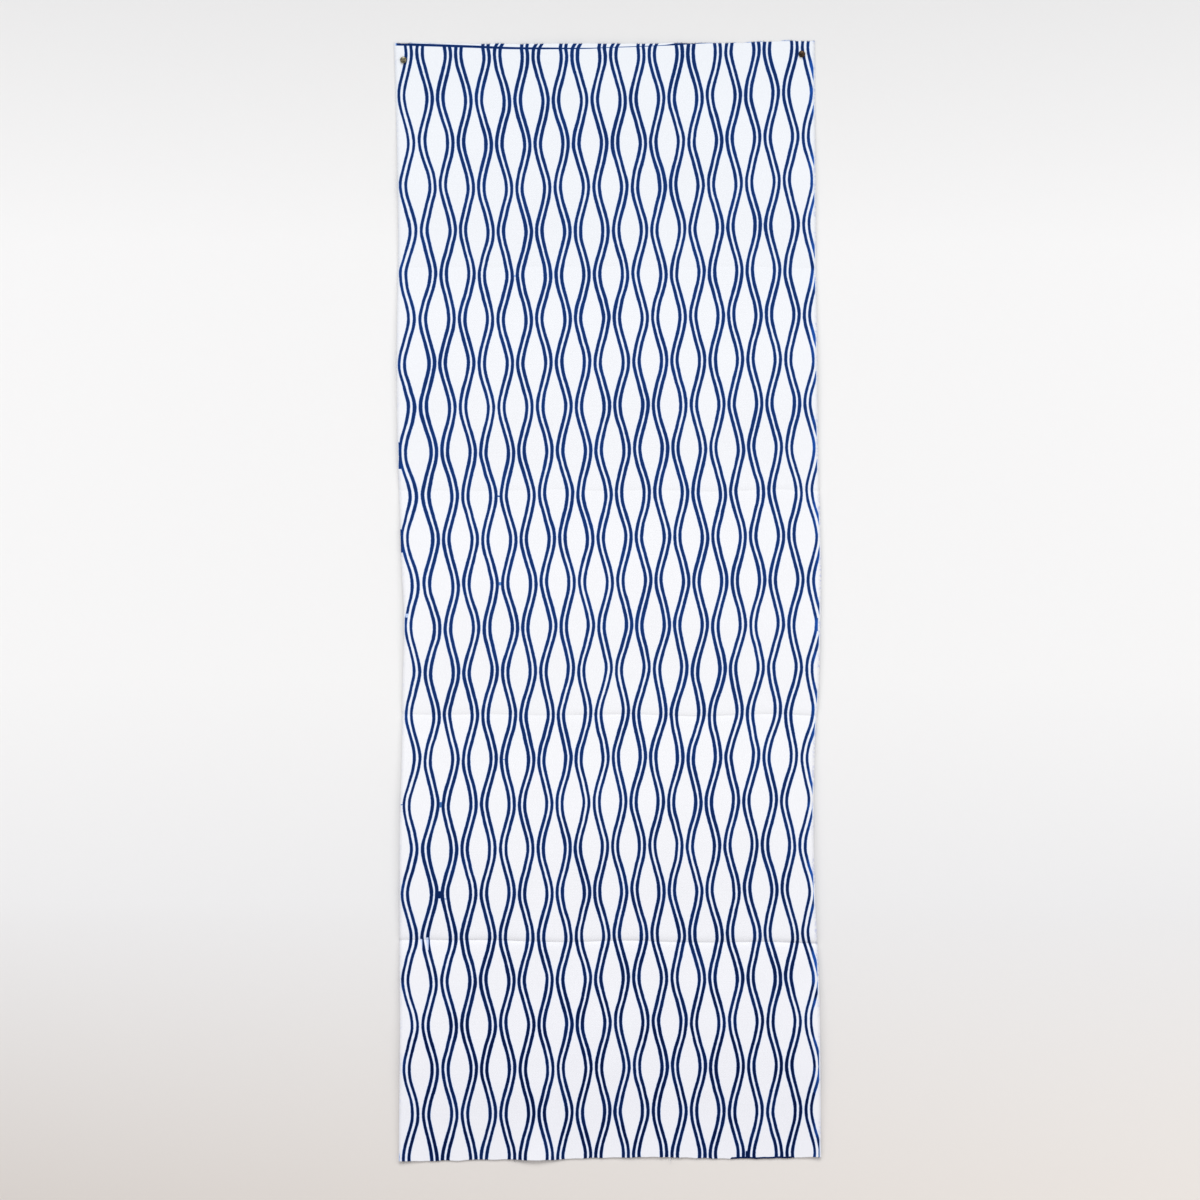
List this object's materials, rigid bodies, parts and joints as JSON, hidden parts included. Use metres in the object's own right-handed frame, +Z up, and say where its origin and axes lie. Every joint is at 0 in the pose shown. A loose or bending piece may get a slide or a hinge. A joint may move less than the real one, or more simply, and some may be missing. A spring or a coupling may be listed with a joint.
{
  "type": "tenugui towel with wall pins",
  "caption": "Flat unhemmed cotton tenugui towel with wavy lines, hung full length against a wall by round-headed pins through its top corners.",
  "frame": {"origin": "on the wall's plane, midway between the two pins that hold the cloth", "axes": "+Z up along the hanging cloth, +X to the right seen from the dyed face, +Y from the dyed face into the wall"},
  "size_m": [0.3443, 0.0144, 0.9027],
  "materials": {
    "cotton": "bleached plain-weave cotton with indigo wavy lines dyed through it, matt",
    "pin_brass": "aged brass, dull satin"
  },
  "bodies": {
    "root": {"towel": "cotton", "pin_left": "pin_brass", "pin_right": "pin_brass"}
  },
  "joints": []
}
